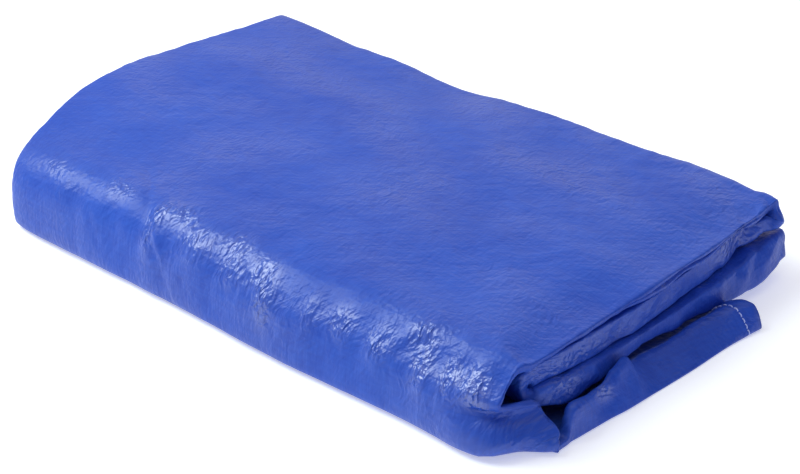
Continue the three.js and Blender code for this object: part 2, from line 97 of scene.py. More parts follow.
# Sections of the strip, in order along it. at: the place along Y on a straight fold, or the angle round a
# bend. z: height of the strip's middle. right, left: where its end folds reach. out: how far the end
# fold's outer face stands off the middle. lobe: the height of the end fold, and round: the depth of its
# nose. blend: the width over which it opens. lean: how far the nose starts behind its other side. tuck:
# depth of the tuck in the middle of the nose. wrap: how far the right end is drawn back round the front
# corner.
COLUMNS = (
    "place", "at", "z",
    "right", "right_out", "right_lobe", "right_round", "right_blend", "lean", "tuck", "wrap",
    "left", "left_out", "left_lobe", "left_round",
)
SECTIONS = [dict(zip(COLUMNS, row)) for row in [
    ("flap", 87, 5.6, 292, 5.6, 19.5, 8, 30, 8, 0, 0, -256, 5.6, 11, 6),
    ("flap", 50, 5.6, 286, 5.6, 16, 5, 10, 19, 0, 0, -260, 5.6, 11.5, 6),
    ("flap", 10, 5.6, 283, 5.6, 14, 4, 10, 21, 0, 0, -263, 5.6, 12, 6),
    ("flap", -20, 5.6, 280, 5.6, 14, 4, 13, 22, 0, 0, -265, 5.6, 12, 7),
    ("flap", -33, 5.6, 278.5, 5.6, 18.5, 4, 11, 18, 0, 0, -267, 5.6, 12, 7),
    ("flap", -44, 5.6, 277.5, 5.6, 29, 4, 7, 15, 0, 0, -268, 5.6, 13, 7),
    ("flap", -58, 5.6, 276, 5.6, 28, 4, 5, 11, 0, 0, -268, 5.6, 13, 7),
    ("flap", -75, 5.6, 273, 5.6, 24.5, 4, 5, 8, 0, 0, -266, 5.6, 13, 7),
    ("flap", -91, 5.6, 271, 5.6, 22.5, 4, 5, 6, 0, 0, -262, 5.6, 13, 7),
    ("flap", -106, 5.6, 269, 5.6, 22.5, 3.4, 5, 5, 0, 0, -258, 5.6, 13, 7),
    ("flap", -112, 5.6, 268, 5.6, 19, 3, 5, 4, 0, 1, -255, 5.6, 13, 7),
    ("flap", -117, 5.6, 267.5, 5.6, 8, 2.6, 9, 1, 0, 2, -254, 5.6, 13, 7),
    ("flap", -120, 5.6, 267.5, 5.6, 5.4, 2.4, 20, 0, 0, 3, -253, 5.6, 13, 7),
    ("flap", -137, 5.6, 267, 5.6, 4.6, 2.2, 40, 0, 0, 11, -246, 5.6, 13, 7),
    ("front", 15, 0, 265.5, 5.6, 4.4, 2, 32, 0, 0, 16.5, -240, 5.6, 13, 6),
    ("front", 35, 0, 263, 5.6, 4.2, 2, 30, 0, 0, 29, -238, 5.6, 13, 6),
    ("front", 60, 0, 256, 4.8, 4, 1.8, 30, 0, 0, 38, -238, 5.6, 13, 6),
    ("front", 78, 0, 248, 3, 4, 1.8, 40, 0, 0, 41, -239, 5.6, 13, 6),
    ("front", 88, 0, 246, 2.4, 4, 1.8, 44, 0, 0, 36, -239, 5.6, 13, 6),
    ("front", 98, 0, 241, 3, 4, 1.8, 36, 0, 0, 12, -240, 5.6, 13, 6),
    ("front", 108, 0, 240, 3.4, 3.8, 1.6, 30, 0, 0, 1, -241, 5.6, 13, 6),
    ("front", 118, 0, 240, 3.8, 4, 1.6, 26, 0, 0, 0, -243, 5.6, 13, 6),
    ("front", 150, 0, 240, 4.6, 5, 1.6, 20, 0, 0, 0, -250, 5.6, 13, 6),
    ("front", 167, 0, 240.5, 3, 6, 1.8, 20, 0, 0, 0, -252, 5.6, 13, 6),
    ("top", -128, 59.4, 242, -0.4, 5, 2, 24, 0, 0, 0, -254.5, 5.6, 13, 8),
    ("top", -115, 59.4, 243, -1, 3.6, 2, 34, 0, 0, 0, -257.5, 5.6, 13, 8),
    ("top", -85, 59.4, 245, -0.4, 3.2, 2, 50, 0, 0, 0, -266, 5.6, 15, 8),
    ("top", -45, 59.4, 246, -0.6, 3.2, 2, 50, 0, 0, 0, -275.5, 5.6, 15, 8),
    ("top", -10, 59.4, 249, 1, 6, 2.4, 50, 0, 2, 0, -276.5, 5.6, 15, 8),
    ("top", 18, 59.4, 251.5, 2.6, 10, 2.6, 50, 0, 3.4, 0, -275, 5.6, 15, 8),
    ("top", 40, 59.4, 251.5, 2, 7, 2.6, 50, 0, 2.6, 0, -272, 5.6, 15, 8),
    ("top", 64, 59.4, 252, 1.4, 9, 2.6, 50, 0, 3.2, 0, -270, 5.6, 15, 8),
    ("top", 90, 59.4, 252, 0.6, 4, 2.2, 50, 0, 0.6, 0, -267, 5.6, 14, 7),
    ("top", 125, 59.4, 253, 1, 6, 2.4, 50, 0, 1, 0, -263, 5.6, 12, 6),
    ("top", 150, 59.4, 254.5, 3.2, 9, 2.6, 50, 0, 1, 0, -258, 5.6, 9, 5),
    ("back", 60, 0, 255, 4.6, 12, 2.6, 50, 0, 1.2, 0, -256, 5.6, 9, 5),
    ("back", 120, 0, 259, 5.6, 13, 2.6, 50, 0, 0, 0, -252, 5.6, 10, 5),
    ("grey", 150, 42, 254, 5, 12, 3, 60, 0, 0, 0, -250, 5.6, 12, 6),
    ("grey", 120, 41, 245, 7, 17, 3, 60, 0, 0, 0, -254, 7, 14, 8),
    ("grey", 90, 39.5, 247.5, 10.5, 21, 3, 60, 0, 0, 0, -258, 8, 16, 8),
    ("grey", 0, 40, 248, 11, 21, 3, 60, 0, 0, 0, -266, 8, 16, 8),
    ("grey", -60, 42, 246, 10, 20.5, 3, 60, 0, 0, 0, -262, 7, 13, 8),
    ("grey", -100, 44, 243, 8.4, 17.6, 3, 60, 0, 0, 0, -256, 6.4, 12, 7),
    ("grey", -121, 43.6, 238, 7.8, 16.4, 3, 60, 0, 0, 0, -250, 5.6, 11, 6),
    ("inner", 90, 0, 236, 5.4, 8.4, 2.4, 60, 0, 0, 0, -242, 5.6, 11, 6),
    ("last", -121, 27.2, 241, 7.4, 12.5, 3, 60, -2, 0, 0, -248, 5.6, 12, 6),
    ("last", -100, 27.8, 248, 6.4, 14.5, 3, 60, -5, 0, 0, -252, 5.6, 12, 6),
    ("last", -85, 27.2, 248.5, 5.6, 15, 3, 60, -5, 0, 0, -256, 5.6, 12, 6),
    ("last", -60, 26.4, 250, 4.4, 12, 2.6, 60, -4, 0, 0, -262, 5, 11, 8),
    ("last", 0, 22.6, 251.5, 5.2, 12, 2.6, 60, 0, 0, 0, -264, 5, 11, 8),
    ("last", 60, 20.4, 254, 7, 17, 3, 60, -2, 0, 0, -260, 5.6, 11, 8),
    ("last", 95, 19.4, 255.5, 8, 19, 3, 60, -4, 0, 0, -255, 5.6, 11, 8),
    ("last", 130, 18, 257, 14, 23, 3, 60, -5, 0, 0, -254, 7, 14, 8),
    ("last", 165, 19, 257.5, 16, 21, 4, 60, -4, 0, 0, -250, 7, 16, 8),
]]

# Bends: depth of the middle, the way it points along Y, and how square each half of the outer face is.
# The middle line has a point at every few degrees.
BEND_POINT = 2
BENDS = {
    "front": {"depth": 30.5, "way": -1, "first": 8, "second": 2.6},
    "back": {"depth": 9, "way": 1, "first": 4.5, "second": 2.4},
    "inner": {"depth": 6.4, "way": -1, "first": 2, "second": 2},
}

# Humps and hollows of the whole pack: place, spread, and the rise of the top
TOP = 65
HUMPS = [
    {"x": -262, "y": -10, "wide": 110, "deep": 120, "rise": 6},
    {"x": -20, "y": -20, "wide": 160, "deep": 90, "rise": 2},
    {"x": -262, "y": -160, "wide": 60, "deep": 45, "rise": -9},
    {"x": -56, "y": 165, "wide": 50, "deep": 45, "rise": -7},
    {"x": -165, "y": 165, "wide": 60, "deep": 40, "rise": -3},
    {"x": 235, "y": 150, "wide": 80, "deep": 60, "rise": 3},
]

# The front shoulder and the radius over which it gives, and the places where it is pressed in: the middle
# of each along X, its half width and its depth
SHOULDER = {"y": -160, "z": 58, "spread": 17}
PRESSES = [
    {"x": 205, "wide": 75, "depth": 8},
    {"x": 60, "wide": 90, "depth": 4},
]
# The round plan of the front left corner: how far it is drawn back, and where that starts and how far
# it runs
CORNER = {"depth": 12, "x": -210, "wide": 50, "y": -60, "deep": 105}
# The front's fullness along X, and the spread foot of its right corner
FULLNESS = {"depth": 4, "x": 60, "wide": 80, "y": -80, "deep": 90}
FOOT = {"depth": 3.4, "x": 224, "wide": 32, "y": -120, "deep": 40, "high": 26}

# Rings of the mesh: steps along each straight fold in millimetres and round each bend in degrees
RUN_STEP = {"flap": 4, "top": 4, "grey": 3.6, "last": 3.6}
BEND_STEP = {"front": 5, "back": 9, "inner": 12}
# Blocks of folds, each with its steps across the outer layer. The other steps of a ring are the same in
# all: across each hidden layer, in the spread towards each end, and round each nose.
BLOCKS = [(("flap",), 26), (("front", "top", "back"), 124), (("grey", "inner", "last"), 22)]
HIDDEN_STEPS = 7
RIGHT_STEPS = 7
LEFT_STEPS = 6
NOSE_POINTS = 16
# How flat the face of an end fold is, where 1 is round, and the share of it that a tuck takes
NOSE_POWER = 0.26
TUCK_WIDTH = 0.24
# The hidden layers take this share of the cloth's relief, which starts at the floor and is whole from
# this height
HIDDEN_SHARE = 0.15
RELIEF_FROM = 14

# Creases laid on the outer layer, from one place on the cloth to another. rise is the height of a
# ridge or, below zero, the depth of a trough, and width its half width. The sides are steeper with a
# higher power.
CREASE_POWER = 1.4
CREASE_COLUMNS = ("from_place", "from_at", "from_x", "to_place", "to_at", "to_x", "rise", "width")
CREASES = [dict(zip(CREASE_COLUMNS, row)) for row in [
    ("top", -108, -141, "front", 136, -93, -1.0, 3.0),
    ("front", 136, -93, "front", 92, -71, -1.3, 3.0),
    ("front", 150, -90, "front", 90, -64, 1.2, 2.6),
    ("front", 140, -88, "front", 176, -58, 0.6, 2.6),
    ("front", 80, -68, "front", 30, -46, -1.0, 3.0),
    ("front", 92, -3, "front", 118, 22, -1.1, 2.6),
    ("front", 124, 14, "front", 94, 56, 0.9, 2.6),
    ("front", 132, 22, "front", 112, 36, 0.7, 2.4),
    ("front", 116, 154, "front", 168, 190, -1.2, 2.4),
    ("front", 126, 156, "front", 160, 158, 0.6, 2.6),
    ("front", 160, 158, "front", 160, 172, 0.6, 2.6),
    ("front", 136, 181, "front", 92, 193, -0.7, 3.4),
    ("front", 132, 203, "front", 92, 210, -0.7, 3.4),
    ("front", 58, 198, "front", 77, 229, 1.2, 3.4),
    ("front", 77, 229, "front", 84, 244, 1.0, 3.0),
    ("front", 122, 94, "front", 84, 110, -0.8, 3.2),
    ("front", 116, 132, "front", 78, 146, 0.8, 3.2),
    ("front", 116, -150, "front", 76, -134, -0.8, 3.4),
    ("front", 126, -182, "front", 88, -176, 0.7, 3.0),
]]

# Patches of sharp fine crinkle on the outer layer, or of smooth cloth where strength is below zero: the
# middle of each, its half widths and its strength. Their edges are steeper with a higher power.
PATCH_POWER = 1.5
PATCH_COLUMNS = ("place", "at", "x", "wide", "deep", "strength")
PATCHES = [dict(zip(PATCH_COLUMNS, row)) for row in [
    ("front", 142, -196, 16, 8, 1.0),
    ("front", 148, -130, 18, 10, 1.2),
    ("front", 128, -84, 7, 20, 2.4),
    ("front", 152, -66, 16, 10, 1.8),
    ("front", 128, -38, 18, 12, 1.9),
    ("front", 146, -6, 16, 11, 2.0),
    ("front", 116, 2, 16, 9, 1.5),
    ("front", 134, 26, 13, 12, 1.9),
    ("front", 100, 38, 8, 16, 1.8),
    ("front", 116, 78, 10, 10, 1.6),
    ("front", 120, 104, 14, 10, 2.2),
    ("front", 116, 138, 12, 11, 2.2),
    ("front", 142, 166, 11, 10, 1.9),
    ("front", 110, 176, 8, 14, 2.3),
    ("front", 116, 198, 8, 13, 2.2),
    ("front", 120, 218, 12, 11, 2.6),
    ("front", 104, 224, 9, 8, 2.2),
    ("grey", 120, 262, 20, 30, 1.5),
    ("grey", -20, 252, 14, 60, 0.7),
    ("grey", -100, 246, 14, 30, 1.0),
    ("last", -100, 250, 14, 16, 1.6),
    ("last", 120, 270, 25, 40, 0.2),
    ("flap", -60, 296, 26, 40, -0.6),
    ("flap", -74, 292, 8, 9, 2.6),
]]

# Crumpled places, where facets stand out: the middle of each on the flat cloth, its half widths and
# strength. FACETED is the strength elsewhere.
FACETED = 0.22
CRUMPLED = [dict(zip(PATCH_COLUMNS, row)) for row in [
    ("front", 130, 205, 50, 40, 0.9),
    ("front", 60, 235, 45, 40, 0.7),
    ("front", 120, -75, 30, 35, 0.5),
    ("front", 110, 40, 60, 30, 0.4),
    ("back", 60, 262, 40, 50, 2.4),
    ("grey", 120, 262, 40, 40, 2.4),
    ("grey", 0, 262, 30, 90, 0.8),
    ("last", -90, 262, 30, 40, 2.2),
    ("last", 30, 268, 30, 60, 1.0),
    ("last", 130, 268, 40, 50, 1.8),
    ("flap", -70, 290, 40, 45, 1.4),
    ("flap", 60, 300, 40, 50, 0.7),
]]

# The noises repeat after this many units
NOISE_TILE = 64
# Facets, ridges and waves of the cloth in a few sizes: the size across and along the strip and the height
RELIEF_COLUMNS = ("across", "along", "height", "seed")
FACETS = [dict(zip(RELIEF_COLUMNS, row)) for row in [
    (34, 30, 0.9, 33),
    (16, 14, 0.9, 34),
    (8, 7, 0.4, 35),
]]
RIDGES = [dict(zip(RELIEF_COLUMNS, row)) for row in [
    (46, 34, 0.42, 6),
    (27, 24, 0.34, 7),
    (15, 14, 0.22, 8),
]]
WAVES = {"across": 95, "along": 60, "height": 1.3, "seed": 5}
# Soft folds down the front: between which angles of its bend they run, the lengths over which they fade
# in and out, and their two sizes
STREAKS_RUN = (14, 172)
STREAKS_IN = 20
STREAKS_OUT = (-25, 12)
LONG_STREAKS = {"across": 24, "along": 110, "height": 1.125, "seed": 12}
FINE_STREAKS = {"across": 12, "along": 50, "height": 0.525, "seed": 13}
# How far places sway before relief is laid on them, and the size of the sway
FACET_SWAY = {"reach": 8, "size": 45, "seed": 31}
RIDGE_SWAY = {"reach": 9, "size": 70, "seed": 3}
STREAK_SWAY = {"reach": 9.6, "size": 60, "seed": 11}
# Strengths that vary softly over the cloth: that of its ridges, and that of its fine crinkle
UNEVEN_COLUMNS = ("usual", "swing", "least", "most", "across", "along", "seed")
RIDGED = dict(zip(UNEVEN_COLUMNS, (0.65, 0.6, 0.15, 1.4, 120, 90, 9)))
CRINKLED = dict(zip(UNEVEN_COLUMNS, (0.62, 0.8, 0.34, 1.42, 75, 55, 21)))

# Bump of the woven cloth. A scale is waves to a metre of cloth, a height is in millimetres, and the reach
# of the swirl and the pitch of the tapes are in metres. The slant of the rumples is in radians.
CRINKLES = [(120.0, 0.30), (230.0, 0.13)]
CRINKLE_STRETCH = (1.25, 0.8, 1.0)
CRINKLE_FALL = 5.0
SWIRL_SCALE = 45.0
SWIRL_REACH = (0.010, 0.010, 0.0)
TAPE_SCALE = 190.0
TAPE_HEIGHT = 0.05
TAPE_PITCH = 0.0026
KNOT_HEIGHT = 0.010
GRAIN_SCALES = [(70.0, 460.0, 1.0), (460.0, 70.0, 1.0)]
GRAIN_HEIGHT = 0.28
RUMPLE_SCALES = [(24.0, 130.0, 1.0), (60.0, 300.0, 1.0)]
RUMPLE_HEIGHT = 0.55
RUMPLE_SLANT = -0.71
# Mottle of the cloth, made up of shares of patches, grain and rumples, and the blue at two of its values
MOTTLE_SCALE = 9.0
MOTTLE = {"patches": 0.4, "grain": 0.25, "rumples": 0.12}
CLOTH_COLOURS = [(0.42, (0.016, 0.062, 0.42)), (0.72, (0.029, 0.104, 0.545))]
# Roughness and shine of the coat on flat cloth, and how much less rough and more shiny it is where it is
# crinkled, with the least roughness and how far that varies over the cloth
ROUGH = {"flat": 0.42, "crinkled": 0.08, "least": 0.2, "varies": 0.10, "scale": 30.0}
SHINE = {"flat": 0.17, "crinkled": 0.30}
# The thread and the floor each pass from one colour to another over a part of their noise
THREAD_COLOURS = [(0.35, (0.42, 0.50, 0.88)), (0.65, (0.56, 0.62, 0.95))]
FLOOR_COLOURS = [(0.3, (0.86, 0.86, 0.87)), (0.7, (0.88, 0.88, 0.88))]

# Area lights: where each shines from, its distance and size in metres, its power in watts and its colour
LIGHT_COLUMNS = ("name", "direction", "distance", "size", "power", "colour")
LIGHTS = [dict(zip(LIGHT_COLUMNS, row)) for row in [
    ("soft_box", (-0.56, -0.30, 0.77), 2.2, (1.2, 1.5), 39, (0.90, 1.0, 0.99)),
    ("back_panel", (-0.5, 0.75, 0.42), 2.6, (2.4, 1.0), 7, (1.0, 0.88, 0.86)),
]]
# The floor's half size, how far it lies under the pack, and its own glow
FLOOR_REACH = 3000
FLOOR_DROP = 0.4
FLOOR_GLOW = 0.42


def smooth(start, end, value):
    u = np.clip((value - start) / (end - start), 0, 1)
    return u * u * (3 - 2 * u)


def share(distance, span):
    """0 at no distance, 1 from the whole span on."""
    return np.clip(distance / span, 0, 1)


def bell(value, middle, wide):
    return np.exp(-((value - middle) / wide) ** 2)


def easy_curve(knots, values, at):
    """A curve through the given values that never overshoots them."""
    knots, values, at = (np.asarray(item, float) for item in (knots, values, at))
    slope = np.diff(values) / np.diff(knots)
    turn = np.zeros(len(values))
    turn[0], turn[-1] = slope[0], slope[-1]
    for i in range(1, len(values) - 1):
        if slope[i - 1] * slope[i] > 0:
            turn[i] = 2 * slope[i - 1] * slope[i] / (slope[i - 1] + slope[i])
    k = np.clip(np.searchsorted(knots, at, side="right") - 1, 0, len(knots) - 2)
    gap = knots[k + 1] - knots[k]
    u = np.clip((at - knots[k]) / gap, 0, 1)
    w = 1 - u
    return (values[k] * (1 + 2 * u) * w * w + gap * turn[k] * u * w * w
            + values[k + 1] * u * u * (3 - 2 * u) - gap * turn[k + 1] * u * u * w)


def reach(angle, across, out, power):
    """Distance from the middle of a bend to its rim, at an angle from where the bend starts."""
    return ((abs(math.cos(angle)) / across) ** power + (abs(math.sin(angle)) / out) ** power) ** (-1 / power)


def section_groups():
    groups = []
    for section in SECTIONS:
        if not groups or groups[-1][0] != section["place"]:
            groups.append((section["place"], []))
        groups[-1][1].append(section)
    return groups


def run_points(sections):
    """The strip's middle on a straight fold, a point every millimetre: place, at, y, z and two lofts."""
    first, last = sections[0], sections[-1]
    length = abs(last["at"] - first["at"])
    way = math.copysign(1, last["at"] - first["at"])
    along = np.linspace(0, length, round(length) + 1)
    height = easy_curve([(s["at"] - first["at"]) * way for s in sections], [s["z"] for s in sections], along)
    places = first["at"] + way * along
    return [(first["place"], y, y, z, 0, 0) for y, z in zip(places, height)]


def bend_points(place, before, after):
    """The strip's middle round a bend, with how far its outer face stands proud of a round one."""
    bend = BENDS[place]
    half = abs(before["z"] - after["z"]) / 2
    up = math.copysign(1, before["z"] - after["z"])
    points = []
    for degrees in range(BEND_POINT, 180, BEND_POINT):
        angle = math.radians(degrees)
        rounded = reach(angle, half, bend["depth"], 2)
        power = bend["first"] if degrees < 90 else bend["second"]
        rim = reach(angle, half + HALF, bend["depth"] + HALF, power)
        loft = 0 if place == "inner" else rim - rounded - HALF
        y = ((before["at"] + after["at"]) / 2 + (before["at"] - after["at"]) / 2 * math.cos(angle)
             + bend["way"] * rounded * math.sin(angle))
        z = (before["z"] + after["z"]) / 2 + up * rounded * math.cos(angle)
        points.append((place, degrees, y, z, loft, loft if place == "back" else 0))
    return points


class Path:
    """The strip's middle line from its hem on the floor to its last fold, with every column along it."""

    def __init__(self):
        groups = section_groups()
        points = []
        for i, (place, sections) in enumerate(groups):
            if place in BENDS:
                points += bend_points(place, groups[i - 1][1][-1], groups[i + 1][1][0])
            else:
                points += run_points(sections)
        self.place = np.array([p[0] for p in points])
        self.at, self.y, self.z, self.loft, self.end_loft = np.array([p[1:] for p in points], float).T
        self.s = np.concatenate([[0], np.cumsum(np.hypot(np.diff(self.y), np.diff(self.z)))])
        knots = [self.length_at(section["place"], section["at"]) for section in SECTIONS]
        self.columns = {
            name: easy_curve(knots, [section[name] for section in SECTIONS], self.s) for name in COLUMNS[3:]
        }
        self.columns.update(y=self.y, z=self.z, loft=self.loft, end_loft=self.end_loft)

    def length_at(self, place, at):
        """Length along the strip at a place: y on a straight fold, degrees round a bend."""
        here = np.flatnonzero(self.place == place)
        return self.s[here[np.argmin(abs(self.at[here] - at))]]

    def value(self, name, s):
        return np.interp(s, self.s, self.columns[name])

    def stations(self, places):
        """Lengths along the strip where a ring of the mesh stands."""
        found = []
        for place in places:
            here = np.flatnonzero(self.place == place)
            if place in BENDS:
                steps = round(180 / BEND_STEP[place])
                found += [self.length_at(place, degrees) for degrees in np.linspace(0, 180, steps + 1)[1:-1]]
            else:
                start, end = self.s[here[0]], self.s[here[-1]]
                found += list(np.linspace(start, end, round((end - start) / RUN_STEP[place]) + 1))
        return np.array(found)


PATH = Path()


def gradient_noise(u, v, seed):
    """Soft noise, about -1 to 1, with one wave to a unit or two."""
    angles = np.random.default_rng(seed).uniform(0, 2 * np.pi, (NOISE_TILE, NOISE_TILE))
    i, j = np.floor(u).astype(int), np.floor(v).astype(int)
    fu, fv = u - i, v - j
    ease_u, ease_v = (f * f * f * (f * (f * 6 - 15) + 10) for f in (fu, fv))
    total = np.zeros(np.broadcast(u, v).shape)
    for di in (0, 1):
        for dj in (0, 1):
            angle = angles[(i + di) % NOISE_TILE, (j + dj) % NOISE_TILE]
            slope = np.cos(angle) * (fu - di) + np.sin(angle) * (fv - dj)
            total += slope * (ease_u if di else 1 - ease_u) * (ease_v if dj else 1 - ease_v)
    return 1.6 * total


def ridged(u, v, seed):
    """Sharp ridges from 1 down to about -1 between them."""
    return 1 - 2.4 * abs(gradient_noise(u, v, seed))


def faceted(u, v, seed):
    """Flat facets that meet at creases, -1 to 1, with a corner to every unit or so."""
    heights = np.random.default_rng(seed).uniform(-1, 1, (NOISE_TILE, NOISE_TILE))
    row = v * 2 / math.sqrt(3)
    column = u - row / 2
    i, j = np.floor(column).astype(int), np.floor(row).astype(int)
    a, b = column - i, row - j
    upper = a + b > 1
    corner = heights[(i + upper) % NOISE_TILE, (j + upper) % NOISE_TILE]
    right = heights[(i + 1) % NOISE_TILE, j % NOISE_TILE]
    above = heights[i % NOISE_TILE, (j + 1) % NOISE_TILE]
    return np.where(upper, (a + b - 1) * corner + (1 - b) * right + (1 - a) * above,
                    (1 - a - b) * corner + a * right + b * above)


def sway(kind, u, s, seed):
    """How far a place moves softly to and fro, so that what is laid on it doesn't run straight."""
    return kind["reach"] * gradient_noise(u / kind["size"], s / kind["size"], seed)


def swayed(kind, u, s):
    return u + sway(kind, u, s, kind["seed"]), s + sway(kind, u, s, kind["seed"] + 1)


def relief_of(kind, form, u, s):
    """One size of relief at a place, in the form of one of the noises above."""
    return kind["height"] * form(u / kind["across"], s / kind["along"], kind["seed"])


def uneven(kind, u, s):
    """A strength that varies softly over the cloth."""
    swing = kind["swing"] * gradient_noise(u / kind["across"], s / kind["along"], kind["seed"])
    return np.clip(kind["usual"] + swing, kind["least"], kind["most"])


def near(patch, u, s):
    """1 in the middle of a patch, and nearly 0 past its half widths."""
    off_u = (u - patch["x"]) / patch["wide"]
    off_s = (s - PATH.length_at(patch["place"], patch["at"])) / patch["deep"]
    return np.exp(-(off_u ** 2 + off_s ** 2) ** PATCH_POWER)


def facets(u, s):
    """Crumpled facets, strongest in the places named in CRUMPLED."""
    bent_u, bent_s = swayed(FACET_SWAY, u, s)
    strength = FACETED + sum(patch["strength"] * near(patch, u, s) for patch in CRUMPLED)
    return strength * sum(relief_of(kind, faceted, bent_u, bent_s) for kind in FACETS)


def crumple(u, s):
    """Height of the cloth's own relief at the place u, s on the flat cloth."""
    bent_u, bent_s = swayed(RIDGE_SWAY, u, s)
    ridges = sum(relief_of(kind, ridged, bent_u, bent_s) for kind in RIDGES)
    return relief_of(WAVES, gradient_noise, bent_u, bent_s) + uneven(RIDGED, u, s) * ridges


def streaks(u, s):
    """Soft folds that run down the front, from its shoulder to the floor."""
    start, end = (PATH.length_at("front", degrees) for degrees in STREAKS_RUN)
    fade = smooth(start, start + STREAKS_IN, s) * (1 - smooth(end + STREAKS_OUT[0], end + STREAKS_OUT[1], s))
    bent_u = u + sway(STREAK_SWAY, u, s, STREAK_SWAY["seed"])
    return fade * (relief_of(LONG_STREAKS, gradient_noise, bent_u, s)
                   + relief_of(FINE_STREAKS, gradient_noise, u, s))


def creases(u, s):
    """The listed creases, each a soft ridge or trough that fades at its ends."""
    height = np.zeros(np.broadcast(u, s).shape)
    for crease in CREASES:
        start = np.array([crease["from_x"], PATH.length_at(crease["from_place"], crease["from_at"])])
        end = np.array([crease["to_x"], PATH.length_at(crease["to_place"], crease["to_at"])])
        line = end - start
        length = np.hypot(*line)
        along = ((u - start[0]) * line[0] + (s - start[1]) * line[1]) / length
        off = ((s - start[1]) * line[0] - (u - start[0]) * line[1]) / length
        fade = smooth(-crease["width"], crease["width"], along) * (
            1 - smooth(length - crease["width"], length + crease["width"], along))
        height += crease["rise"] * fade * np.exp(-abs(off / crease["width"]) ** CREASE_POWER)
    return height


def crinkled(u, s):
    """Strength of the fine crinkle at a place on the flat cloth."""
    patches = sum(patch["strength"] * near(patch, u, s) for patch in PATCHES)
    return np.maximum(uneven(CRINKLED, u, s) + patches, 0)


def middle_surface(x, s):
    """The strip's middle surface, with its right end drawn round the front corner."""
    u = np.clip((x - PATH.value("right", s) + WRAP_REACH) / WRAP_REACH, 0, WRAP_END)
    y = PATH.value("y", s) + PATH.value("wrap", s) * u ** WRAP_POWER
    return np.stack([x, y, np.broadcast_to(PATH.value("z", s), x.shape)], -1)


def off_surface(x, t, s):
    """The point at width x and length s, t off the middle surface along its normal."""
    before, after = np.maximum(s - SMALL, 0), np.minimum(s + SMALL, PATH.s[-1])
    across = middle_surface(x + SMALL, s) - middle_surface(x - SMALL, s)
    along = middle_surface(x, after) - middle_surface(x, before)
    normal = np.cross(across, along)
    normal /= np.linalg.norm(normal, axis=-1, keepdims=True)
    return middle_surface(x, s) + t[..., None] * normal


def settled(points):
    """Humps of the pack, the round plan of its front left corner, its pressed shoulder and its full front."""
    x, y, z = points[..., 0], points[..., 1], points[..., 2]
    rise = 1 + sum(hump["rise"] / TOP * bell(x, hump["x"], hump["wide"]) * bell(y, hump["y"], hump["deep"])
                   for hump in HUMPS)
    pressed = sum(press["depth"] * bell(x, press["x"], press["wide"]) for press in PRESSES) / math.sqrt(2)
    pressed = (pressed * bell(y, SHOULDER["y"], SHOULDER["spread"])
               * bell(z, SHOULDER["z"], SHOULDER["spread"]))
    corner = (CORNER["depth"] * share(CORNER["x"] - x, CORNER["wide"]) ** 2
              * share(CORNER["y"] - y, CORNER["deep"]) ** 2)
    full = (FULLNESS["depth"] * share(FULLNESS["y"] - y, FULLNESS["deep"]) ** 2
            * bell(x, FULLNESS["x"], FULLNESS["wide"]))
    foot = (FOOT["depth"] * share(FOOT["y"] - y, FOOT["deep"]) * bell(x, FOOT["x"], FOOT["wide"])
            * bell(z, 0, FOOT["high"]))
    return np.stack([x - MIDDLE[0], y + corner - full - foot + pressed - MIDDLE[1],
                     np.maximum(z * rise - pressed, 0)], -1)


def blend(start, end, steps, s):
    """Places from start to end across each section, one row for each length s."""
    u = np.linspace(0, 1, steps + 1)
    start, end = (np.broadcast_to(value, s.shape)[:, None] for value in (start, end))
    return start + (end - start) * u


def nose(x, depth, from_t, to_t, way, lean=0.0, tuck=0.0):
    """Half a turn from one layer of the strip to the other, flat faced, leaning and tucked."""
    angle = np.linspace(-np.pi / 2, np.pi / 2, NOSE_POINTS)
    x, depth, from_t, to_t = (value[:, None] for value in (x, depth, from_t, to_t))
    rise = np.sin(angle)
    back = lean * (1 - rise) / 2 + tuck * np.exp(-(rise / TUCK_WIDTH) ** 2)
    return (x + way * (depth * np.maximum(np.cos(angle), 0) ** NOSE_POWER - back),
            (from_t + to_t) / 2 + (to_t - from_t) / 2 * rise)


